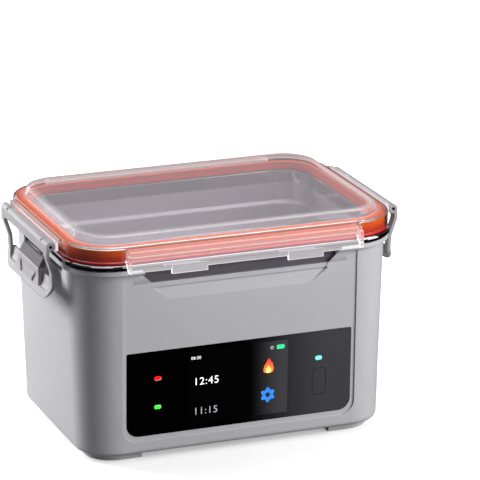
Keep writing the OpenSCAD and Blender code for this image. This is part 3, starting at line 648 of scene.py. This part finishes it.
@dataclass(frozen=True)
class FrontPlane:
    """The drafted front face of the box, which flat pieces are laid on."""

    front: float
    top: float
    draft: float = math.radians(1.8)

    @classmethod
    def of(cls, node: str) -> "FrontPlane":
        """Returns the plane of a node's front face."""
        low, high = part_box(node)
        return cls(front=low.y, top=high.z)

    def matrix(self, x: float, z: float, lift: float) -> Matrix:
        """Gives the place of a flat piece: its X to the right, its Y up the face, its Z outwards.

        Args:
            x: Where its origin is across the box, in metres.
            z: Where its origin is above the floor, in metres.
            lift: How far its origin stands out of the plane, in metres.

        Returns:
            The matrix from the piece's flat frame to the row frame.
        """
        lean, rise = math.sin(self.draft), math.cos(self.draft)
        y = self.front + (self.top - z) * math.tan(self.draft)
        turn = Matrix(((1, 0, 0), (0, -lean, -rise), (0, rise, -lean))).to_4x4()
        return Matrix.Translation((x, y - lift * rise, z)) @ turn


class Shop:
    """Makes objects from bmeshes and reports them."""

    SHARP_FROM = math.radians(35)
    CORNER_STEPS = 6
    CROWN_STEPS = 3
    ROUND_STEPS = 48
    TOOTH_STEPS = 8
    TOOTH_STEEPNESS = 2.2
    DROP_STEPS = 40
    DROP_TAPER = 0.75
    DROP_WAIST = 1.6
    DROP_STRETCH = 1.25
    FIGURE_SHARE = 0.7
    FIGURE_SPACING = 1.12
    MERGE_WITHIN = 1e-6

    @staticmethod
    def finish(name: str, mesh: bmesh.types.BMesh, place: Matrix, look: Finish, body: Body, slot: str,
               smooth: bool = True) -> bpy.types.Object:
        """Turns a bmesh into a dressed piece that rides on a body.

        Args:
            name: The piece's name.
            mesh: Its shape, in its own frame.
            place: Where that frame lies.
            look: Its finish.
            body: The body it moves with.
            slot: A material slot's name; not used.
            smooth: Whether its faces are shaded smooth.

        Returns:
            The piece, at the origin with its place in its mesh.
        """
        mesh.transform(place)
        bmesh.ops.recalc_face_normals(mesh, faces=mesh.faces)
        data = bpy.data.meshes.new(name)
        mesh.to_mesh(data)
        mesh.free()
        for face in data.polygons:
            face.use_smooth = smooth
        if smooth:
            data.set_sharp_from_angle(angle=Shop.SHARP_FROM)
        piece = bpy.data.objects.new(name, data)
        bpy.context.scene.collection.objects.link(piece)
        look.dress(piece)
        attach(piece, body.value)
        LOG.info("%s rides on %s", name, body.value)
        return piece

    @staticmethod
    def rounded_plate(width: float, height: float, radius: float, thickness: float,
                      crown: float = 0.0) -> bmesh.types.BMesh:
        """Makes a rounded rectangle with thickness.

        Args:
            width: Its size along X.
            height: Its size along Y.
            radius: Radius of its corners.
            thickness: Its size along Z, from 0 up.
            crown: Radius of the bevel round its upper face.

        Returns:
            The plate's bmesh.
        """
        mesh = bmesh.new()
        bmesh.ops.create_grid(mesh, x_segments=1, y_segments=1, size=0.5)
        bmesh.ops.scale(mesh, vec=(width, height, 1), verts=mesh.verts)
        bmesh.ops.bevel(mesh, geom=mesh.verts, offset=radius, segments=Shop.CORNER_STEPS, profile=0.5,
                        affect="VERTICES", material=-1, offset_type="OFFSET")
        Shop.thicken(mesh, thickness)
        if crown:
            rim = [e for e in mesh.edges if all(v.co.z > thickness / 2 for v in e.verts)]
            bmesh.ops.bevel(mesh, geom=rim, offset=crown, segments=Shop.CROWN_STEPS, profile=0.5, affect="EDGES",
                            material=-1)
        return mesh

    @staticmethod
    def thicken(mesh: bmesh.types.BMesh, thickness: float) -> None:
        """Closes a flat shape into a solid that stands thickness above its plane.

        Args:
            mesh: The flat shape, changed in place.
            thickness: Its size along Z.
        """
        made = bmesh.ops.extrude_face_region(mesh, geom=mesh.faces[:], use_keep_orig=True)
        raised = [v for v in made["geom"] if isinstance(v, bmesh.types.BMVert)]
        bmesh.ops.translate(mesh, vec=(0, 0, thickness), verts=raised)

    @staticmethod
    def ring(outer: float, inner: float, thickness: float, teeth: int = 0, tooth: float = 0.0) -> bmesh.types.BMesh:
        """Makes a flat ring, toothed round its edge if teeth are asked for.

        Args:
            outer: Radius of its edge, at the foot of the teeth.
            inner: Radius of its hole.
            thickness: Its size along Z.
            teeth: How many teeth it has.
            tooth: How far the teeth stand out.

        Returns:
            The ring's bmesh.
        """
        mesh = bmesh.new()
        count = max(Shop.ROUND_STEPS, Shop.TOOTH_STEPS * teeth)
        edge = bmesh.ops.create_circle(mesh, segments=count, radius=outer)["verts"]
        hole = bmesh.ops.create_circle(mesh, segments=count, radius=inner)["verts"]
        if teeth:
            for vert in edge:
                phase = math.atan2(vert.co.x, vert.co.y) / (2 * math.pi) * teeth
                rise = min(1.0, max(0.0, 0.5 + Shop.TOOTH_STEEPNESS * math.cos(2 * math.pi * phase)))
                vert.co.xy *= (outer + tooth * rise) / outer
        loops = {e for v in edge + hole for e in v.link_edges}
        bmesh.ops.bridge_loops(mesh, edges=list(loops))
        Shop.thicken(mesh, thickness)
        return mesh

    @staticmethod
    def drop(width: float, height: float, lean: float, thickness: float) -> bmesh.types.BMesh:
        """Makes a flame's drop: round at the foot, drawn to a leaning point at the top.

        Args:
            width: Its size along X.
            height: Its size along Y.
            lean: How far its tip leans along X.
            thickness: Its size along Z.

        Returns:
            The drop's bmesh.
        """
        mesh = bmesh.new()
        bmesh.ops.create_circle(mesh, cap_ends=True, segments=Shop.DROP_STEPS, radius=0.5)
        for vert in mesh.verts:
            rise = vert.co.y + 0.5
            narrowed = 1 - Shop.DROP_TAPER * rise**Shop.DROP_WAIST
            vert.co.x = width * vert.co.x * narrowed * Shop.DROP_STRETCH + lean * rise**2
            vert.co.y = height * (rise**Shop.DROP_STRETCH - 0.5)
        Shop.thicken(mesh, thickness)
        return mesh

    @staticmethod
    def figures(text: str, height: float, thickness: float) -> bmesh.types.BMesh:
        """Makes plain figures from the built-in typeface.

        Args:
            text: The figures.
            height: Height of a figure.
            thickness: Their size along Z.

        Returns:
            Their bmesh, from the left end of the base line.
        """
        curve = bpy.data.curves.new("figures", "FONT")
        curve.body = text
        curve.size = height / Shop.FIGURE_SHARE
        curve.extrude = thickness / 2
        curve.space_character = Shop.FIGURE_SPACING
        maker = bpy.data.objects.new("figures", curve)
        bpy.context.scene.collection.objects.link(maker)
        bpy.context.view_layer.update()
        data = bpy.data.meshes.new_from_object(maker.evaluated_get(bpy.context.evaluated_depsgraph_get()))
        mesh = bmesh.new()
        mesh.from_mesh(data)
        bmesh.ops.remove_doubles(mesh, verts=mesh.verts, dist=Shop.MERGE_WITHIN)
        bpy.data.objects.remove(maker)
        bpy.data.curves.remove(curve)
        bpy.data.meshes.remove(data)
        return mesh


# ---- Finishes of this box ---------------------------------------------------------

# Painted shade where little light reaches: the finger recess's slot, the side pockets and, on the latches, the tongue.
SLOTS = (Zone((-1 * MM, 71.7 * MM, 117.4 * MM), (71.5 * MM, 75.3 * MM, 128.0 * MM)),
         Zone((101.0 * MM, -1 * MM, 117.4 * MM), (104.9 * MM, 41.5 * MM, 124.6 * MM)))
# The shell's plastic, darkened by painted shade inside the slots.
SHELL = RecessedPlastic("shell_plastic", shade(196, 196, 201), 0.38, slots=SLOTS, shaded=shade(98, 94, 101))
# Painted shade on the latches: their plastic is darker than the shell's against the strong light on their flared feet,
# and darker still on the tongue.
TONGUE = Zone((108.0 * MM, -1 * MM, 116.9 * MM), (115.2 * MM, 21.0 * MM, 124.5 * MM))
LATCHES = RecessedPlastic("latch_plastic", shade(174, 172, 177), 0.34, slots=(TONGUE,), shaded=shade(92, 88, 94))
# Painted light: the feet are lighter than the shell to lift the shade they stand in.
FEET = MouldedPlastic("foot_rubber", shade(208, 208, 212), 0.6, fineness=1500.0, depth=0.2)
COVER = MouldedPlastic("base_plastic", shade(180, 180, 184), 0.5, depth=0.15)
DARK_PLASTIC = MouldedPlastic("dark_plastic", shade(52, 52, 56), 0.5, depth=0.15)
BLACK_PLASTIC = MouldedPlastic("black_plastic", shade(24, 24, 27), 0.4, depth=0.1)
BOARD = MouldedPlastic("circuit_board", shade(22, 92, 50), 0.45, fineness=700.0, patch=160.0, tone=0.25)
FILM = MouldedPlastic("heating_film", shade(176, 96, 42), 0.3, fineness=400.0, patch=220.0, tone=0.3)
CELLS = MouldedPlastic("cell_sleeve", shade(56, 120, 190), 0.35, patch=90.0, tone=0.08, coat=0.4)
SEAL = MouldedPlastic("well_seal_rubber", shade(60, 60, 64), 0.7, fineness=1200.0, depth=0.2)
LAMP_PIPE = MouldedPlastic("light_pipe", shade(225, 225, 228), 0.2, depth=0.02, coat=0.5)
WELL = Steel("well_aluminium", shade(206, 208, 211), 0.34, polished=0.34, satin=0.4)
POT = Steel("pot_steel", shade(204, 198, 206), 0.24, polished=0.04, edge_from=128.5 * MM, satin=0.3)
SCREWS = Steel("screw_steel", shade(160, 160, 165), 0.3, polished=0.3)
PINS = Steel("pin_steel", shade(205, 205, 210), 0.18, polished=0.18)
LID = ClearPlastic("lid_clear", (0.97, 0.97, 0.98), 0.02)
# The front pane lightens towards the right: a painted reflection.
PANE = SmokedPane("front_pane", shade(2, 2, 3), 0.16, light=shade(72, 71, 76))
SCREEN = SmokedPane("screen_glass", shade(4, 4, 5), 0.14, light=shade(66, 66, 69), start=6.0 * MM, end=30.0 * MM,
                    glow=0.2)
FELT = Felt("insulation_felt", shade(238, 235, 228), 0.95)


# ---- The box, one class for each sub-assembly --------------------------------------


def dress_nodes(nodes: dict[str, bpy.types.Object], body: Body, looks: dict[str, Finish]) -> None:
    """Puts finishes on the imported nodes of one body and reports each.

    Args:
        nodes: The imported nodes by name.
        body: The body that they ride on.
        looks: The finish of each node to dress.
    """
    for name, look in looks.items():
        look.dress(nodes[name])
        LOG.info("%s on %s wears %s", name, body.value, look.name)


@dataclass
class HousingShell:
    """The moulded housing, its base and its feet."""

    looks: dict[str, Finish] = field(default_factory=lambda: {
        "housing": SHELL, "base_cover": COVER, "corner_feet": FEET, "base_screws": SCREWS})

    def dress(self, nodes: dict[str, bpy.types.Object]) -> None:
        """Gives the housing's nodes their finishes."""
        dress_nodes(nodes, Body.BASE, self.looks)


@dataclass
class HeaterAndPower:
    """Everything behind the walls: the well, the heater, the boards and the cells."""

    looks: dict[str, Finish] = field(default_factory=lambda: {
        "heating_well": WELL, "well_seal": SEAL, "heater_plate": WELL, "heater_film": FILM,
        "insulation_wrap": FELT, "insulation_pad": FELT, "heater_deck": DARK_PLASTIC, "deck_screws": SCREWS,
        "thermal_fuse": BLACK_PLASTIC, "temperature_sensor": BLACK_PLASTIC, "main_board": BOARD,
        "buzzer": BLACK_PLASTIC, "battery_cells": CELLS, "cell_holder": DARK_PLASTIC, "cell_straps": PINS,
        "battery_board": BOARD, "charging_inlet": BLACK_PLASTIC, "inlet_nut": SCREWS,
        "display_module": BLACK_PLASTIC, "display_board": BOARD, "button_switch": BLACK_PLASTIC})

    def dress(self, nodes: dict[str, bpy.types.Object]) -> None:
        """Gives the inner nodes their finishes."""
        dress_nodes(nodes, Body.BASE, self.looks)


@dataclass
class FrontPanel:
    """The black pane with its lit display, its lamps and the power button."""

    screen_middle: tuple[float, float] = (-1.05 * MM, 44.5 * MM)
    screen_size: tuple[float, float] = (66.9 * MM, 49.0 * MM)
    screen_corner: float = 0.6 * MM
    mark_depth: float = 0.04 * MM
    mark_lift: float = 0.05 * MM
    mark_gloss: float = 0.3
    lamp_size: tuple[float, float] = (4.4 * MM, 2.4 * MM)
    lamp_corner: float = 1.05 * MM
    lamp_crown: float = 0.2 * MM
    lamp_rise: float = 0.35 * MM
    lamp_gloss: float = 0.25
    lamp_power: float = 1.05
    flame_place: tuple[float, float] = (19.3 * MM, 52.9 * MM)
    gear_place: tuple[float, float] = (19.0 * MM, 33.2 * MM)
    gear_radii: tuple[float, float] = (3.7 * MM, 1.6 * MM)
    gear_teeth: int = 6
    gear_tooth: float = 1.3 * MM
    charge_place: tuple[float, float] = (27.3 * MM, 64.8 * MM)
    tip_place: tuple[float, float] = (30.1 * MM, 64.8 * MM)
    ring_place: tuple[float, float] = (21.6 * MM, 64.8 * MM)
    ring_radii: tuple[float, float] = (1.1 * MM, 0.75 * MM)
    plane: FrontPlane = field(init=False)

    def dress(self, nodes: dict[str, bpy.types.Object]) -> None:
        """Finishes the pane, the button and the pipes, and adds the lit pieces.

        Args:
            nodes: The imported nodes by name.
        """
        dress_nodes(nodes, Body.BASE, {"front_glass": PANE, "light_pipes": LAMP_PIPE})
        dress_nodes(nodes, Body.BUTTON, {"power_button": PANE})
        self.plane = FrontPlane.of("front_glass")
        self.screen()
        self.lamps()
        self.clock_figures()
        self.flame()
        self.gear()
        self.charge_marks()

    def lay(self, name: str, mesh: bmesh.types.BMesh, x: float, z: float, look: Finish,
            layer: int = 1) -> bpy.types.Object:
        """Lays a flat mark over the screen, at x across the box and z above the floor, in the given layer."""
        place = self.plane.matrix(x, z, layer * self.mark_lift)
        return Shop.finish(name, mesh, place, look, Body.BASE, "display_panel", smooth=False)

    def screen(self) -> None:
        """Adds the lit area of the display."""
        mesh = Shop.rounded_plate(*self.screen_size, self.screen_corner, self.mark_depth)
        self.lay("display_screen", mesh, *self.screen_middle, SCREEN, layer=0)

    def lamps(self) -> None:
        """Adds the heat, charge and power lamps."""
        low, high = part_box("light_pipes")
        rows = (high.z - self.lamp_size[1] / 2, low.z + self.lamp_size[1] / 2)
        left, right = low.x + self.lamp_size[0] / 2, high.x - self.lamp_size[0] / 2
        spots = (("heat_lamp", left, rows[0], shade(255, 22, 22)), ("charge_lamp", left, rows[1], shade(60, 240, 50)),
                 ("power_lamp", right, rows[0], shade(110, 240, 235)))
        for name, x, z, colour in spots:
            look = Lit(f"{name}_glow", colour, self.lamp_gloss, power=self.lamp_power)
            mesh = Shop.rounded_plate(*self.lamp_size, self.lamp_corner, self.lamp_rise, crown=self.lamp_crown)
            place = self.plane.matrix(x, z, 0.0)
            Shop.finish(name, mesh, place, look, Body.BASE, "light_pipe")

    def clock_figures(self) -> None:
        """Adds the plain figures of the display, with the height and place of each row."""
        bright = Lit("figures_bright", shade(245, 245, 248), self.mark_gloss, power=0.95)
        dim = Lit("figures_dim", shade(150, 150, 154), self.mark_gloss, power=0.9)
        rows = (("clock_figures", "08:30", 1.9 * MM, -32.9 * MM, 63.4 * MM, bright),
                ("meal_figures", "12:45", 4.9 * MM, -31.2 * MM, 46.0 * MM, bright),
                ("heat_figures", "11:15", 4.7 * MM, -31.2 * MM, 26.1 * MM, dim))
        for name, text, height, x, z, look in rows:
            self.lay(name, Shop.figures(text, height, self.mark_depth), x, z, look)

    def flame(self) -> None:
        """Adds the flame mark: an orange drop with a tongue at each side and a yellow heart."""
        x, z = self.flame_place
        orange = Lit("flame_orange", shade(250, 120, 60), self.mark_gloss, power=0.9, second=shade(225, 60, 50),
                     low=z - 4 * MM, high=z + 5 * MM)
        yellow = Lit("flame_yellow", shade(255, 225, 110), self.mark_gloss, power=1.0, second=shade(250, 160, 70),
                     low=z - 4 * MM, high=z + 1 * MM)
        drops = (("flame_mark", (6.6 * MM, 9.8 * MM), 0.4 * MM, (0.0, 0.0), orange, 1),
                 ("flame_tongue", (3.6 * MM, 6.6 * MM), 1.2 * MM, (1.4 * MM, -1.3 * MM), orange, 2),
                 ("flame_wisp", (3.0 * MM, 5.0 * MM), -0.9 * MM, (-1.7 * MM, -2 * MM), orange, 2),
                 ("flame_heart", (3.6 * MM, 5.4 * MM), -0.3 * MM, (0.1 * MM, -2 * MM), yellow, 3))
        for name, size, lean, away, look, layer in drops:
            self.lay(name, Shop.drop(*size, lean, self.mark_depth), x + away[0], z + away[1], look, layer)

    def gear(self) -> None:
        """Adds the gear mark."""
        blue = Lit("gear_blue", shade(48, 128, 228), self.mark_gloss, power=0.7)
        mesh = Shop.ring(*self.gear_radii, self.mark_depth, teeth=self.gear_teeth, tooth=self.gear_tooth)
        self.lay("gear_mark", mesh, *self.gear_place, blue)

    def charge_marks(self) -> None:
        """Adds the charge mark with its tip, and the small ring beside it."""
        green = Lit("battery_green", shade(52, 200, 140), self.mark_gloss, power=0.9)
        pale = Lit("mark_pale", shade(190, 190, 195), self.mark_gloss, power=0.8)
        plates = (("battery_mark", (5.0 * MM, 2.9 * MM, 0.5 * MM), self.charge_place),
                  ("battery_tip", (0.4 * MM, 1.2 * MM, 0.15 * MM), self.tip_place))
        for name, size, place in plates:
            self.lay(name, Shop.rounded_plate(*size, self.mark_depth), *place, green)
        self.lay("sound_mark", Shop.ring(*self.ring_radii, self.mark_depth), *self.ring_place, pale)


@dataclass
class PotAndLid:
    """The steel pot, the clear lid with its gasket, and the latches."""

    gasket_light: Colour = shade(234, 96, 16)
    gasket_deep: Colour = shade(196, 28, 14)
    # Painted shade for the gasket's inner face.
    gasket_inner_shade: Colour = shade(152, 64, 62)
    gasket_gloss: float = 0.36
    gasket_foot: float = 1.0 * MM

    def dress(self, nodes: dict[str, bpy.types.Object]) -> None:
        """Gives the pot, the lid, the gasket and the latches their finishes.

        Args:
            nodes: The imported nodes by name.
        """
        low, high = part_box("lid_gasket")
        gasket = Silicone("gasket_silicone", self.gasket_light, self.gasket_gloss, deep=self.gasket_deep,
                          inner_shade=self.gasket_inner_shade, low=low.z + self.gasket_foot, high=high.z)
        dress_nodes(nodes, Body.POT, {"food_pot": POT})
        dress_nodes(nodes, Body.LID, {"lid": LID, "lid_gasket": gasket, "hinge_pins": PINS})
        dress_nodes(nodes, Body.LEFT_LATCH, {"latch_left": LATCHES})
        dress_nodes(nodes, Body.RIGHT_LATCH, {"latch_right": LATCHES})


# ---- Studio -----------------------------------------------------------------------


class Reach(Enum):
    """What a light adds: its wash over matt faces, its shine in glossy ones, or both."""

    ALL = "all"
    WASH = "wash"
    SHINE = "shine"


@dataclass(frozen=True)
class SoftLight:
    """A large soft light, aimed at the middle of the box."""

    name: str
    azimuth: float
    elevation: float
    distance: float
    size: tuple[float, float]
    power: float
    reach: Reach = Reach.ALL

    def place(self, target: Vector) -> None:
        """Hangs the light.

        Args:
            target: The point it is aimed at.
        """
        turn, rise = math.radians(self.azimuth), math.radians(self.elevation)
        back = Vector((math.sin(turn) * math.cos(rise), -math.cos(turn) * math.cos(rise), math.sin(rise)))
        lamp = bpy.data.lights.new(self.name, "AREA")
        lamp.shape = "RECTANGLE"
        lamp.size, lamp.size_y = self.size
        lamp.energy = self.power
        made = bpy.data.objects.new(self.name, lamp)
        made.visible_diffuse = self.reach is not Reach.SHINE
        made.visible_glossy = made.visible_transmission = self.reach is not Reach.WASH
        made.location = target + back * self.distance
        made.rotation_euler = (-back).to_track_quat("-Z", "Y").to_euler()
        bpy.context.scene.collection.objects.link(made)
        LOG.info("light %s", self.name)


@dataclass
class Studio:
    """A pale floor, soft light and the camera at the photograph's angle."""

    camera_place: Vector = field(default_factory=lambda: Vector((-686.885, -1855.938, 730.082)) * MM)
    camera_forward: Vector = field(default_factory=lambda: Vector((0.343418, 0.891345, -0.29592)))
    focal_pixels: float = 3213.35
    sensor: float = 36.0
    sight: tuple[float, float] = (0.1, 20.0)
    floor_side: float = 6.0
    floor_tone: float = 0.9
    floor_roughness: float = 0.7
    floor_glow: tuple[float, float] = (0.36, 1.0)
    glow_reach: tuple[float, float] = (0.1, 0.42)
    floor_bounce: float = 0.27
    floor_shine: float = 0.003
    ambient: float = 0.1
    ambient_shine: float = 0.03
    light_target: Vector = field(default_factory=lambda: Vector((0, 0, 0.07)))
    lights: tuple[SoftLight, ...] = (
        SoftLight("left_rear_wash", -138, 16, 0.9, (0.4, 0.6), 14.5, Reach.WASH),
        SoftLight("left_rear_shine", -158, 8, 1.3, (0.7, 0.9), 1.8, Reach.SHINE),
        SoftLight("right_front_wash", 44, 22, 1.1, (0.6, 0.8), 11.5, Reach.WASH),
        SoftLight("right_front_shine", 60, 20, 1.1, (0.6, 0.8), 2.5, Reach.SHINE),
        SoftLight("overhead_softbox", 75, 76, 1.1, (1.1, 0.9), 3.7),
        SoftLight("overhead_shine", 0, 88, 1.05, (2.0, 1.7), 8, Reach.SHINE),
        SoftLight("rear_shine", 160, 18, 1.6, (1.8, 0.9), 1.0, Reach.SHINE),
    )

    def build(self) -> None:
        """Sets up the camera, the lights, the world and the floor."""
        self.camera()
        for light in self.lights:
            light.place(self.light_target)
        self.world()
        self.floor()
        bpy.context.scene.view_settings.view_transform = "Standard"

    def camera(self) -> None:
        """Adds the camera of the photograph."""
        data = bpy.data.cameras.new("camera")
        data.sensor_width = self.sensor
        data.lens = self.focal_pixels / PHOTO_SIDE * self.sensor
        data.clip_start, data.clip_end = self.sight
        made = bpy.data.objects.new("camera", data)
        made.location = self.camera_place
        made.rotation_euler = self.camera_forward.to_track_quat("-Z", "Y").to_euler()
        bpy.context.scene.collection.objects.link(made)
        bpy.context.scene.camera = made

    def world(self) -> None:
        """Lights the box softly all round, before a white background."""
        made = bpy.data.worlds.new("studio")
        made.use_nodes = True
        made.node_tree.nodes.clear()
        graph = Graph(made.node_tree)
        path = graph.node("ShaderNodeLightPath").outputs
        dim, dark, white = (graph.node("ShaderNodeBackground", {"Color": (1, 1, 1, 1), "Strength": level}).outputs[0]
                            for level in (self.ambient, self.ambient_shine, 1.0))
        unseen = graph.choose(path["Is Glossy Ray"], dim, dark)
        graph.node("ShaderNodeOutputWorld", {"Surface": graph.choose(path["Is Camera Ray"], unseen, white)})
        bpy.context.scene.world = made

    def floor(self) -> None:
        """Adds the pale floor."""
        mesh = bmesh.new()
        bmesh.ops.create_grid(mesh, x_segments=1, y_segments=1, size=self.floor_side / 2)
        data = bpy.data.meshes.new("floor")
        mesh.to_mesh(data)
        mesh.free()
        made = bpy.data.objects.new("floor", data)
        bpy.context.scene.collection.objects.link(made)
        data.materials.append(self.floor_material())

    def floor_material(self) -> bpy.types.Material:
        """Makes the floor's look: a white that brightens away from the box and gives back little light.

        Returns:
            The material.
        """
        made = bpy.data.materials.new("floor_white")
        made.use_nodes = True
        made.node_tree.nodes.clear()
        graph = Graph(made.node_tree)
        path = graph.node("ShaderNodeLightPath").outputs
        bounce, shine = ((level, level, level) for level in (self.floor_bounce, self.floor_shine))
        dim = graph.node("ShaderNodeBsdfDiffuse", {
            "Color": graph.blend(path["Is Glossy Ray"], bounce, shine)}).outputs[0]
        away = graph.measure("LENGTH", graph.position())
        pale = graph.principled({
            "Base Color": (self.floor_tone, self.floor_tone, self.floor_tone, 1.0),
            "Roughness": self.floor_roughness, "Specular IOR Level": 0.0, "Emission Color": (1, 1, 1, 1),
            "Emission Strength": graph.ramp(away, *self.glow_reach, *self.floor_glow)})
        graph.node("ShaderNodeOutputMaterial", {"Surface": graph.choose(path["Is Camera Ray"], dim, pale)})
        return made


def main() -> None:
    """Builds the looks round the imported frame."""
    logging.basicConfig(level=logging.INFO, format="%(name)s: %(message)s")
    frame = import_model()
    Studio().build()
    for part in (HousingShell(), HeaterAndPower(), FrontPanel(), PotAndLid()):
        part.dress(frame["nodes"])


if __name__ == "__main__":
    main()
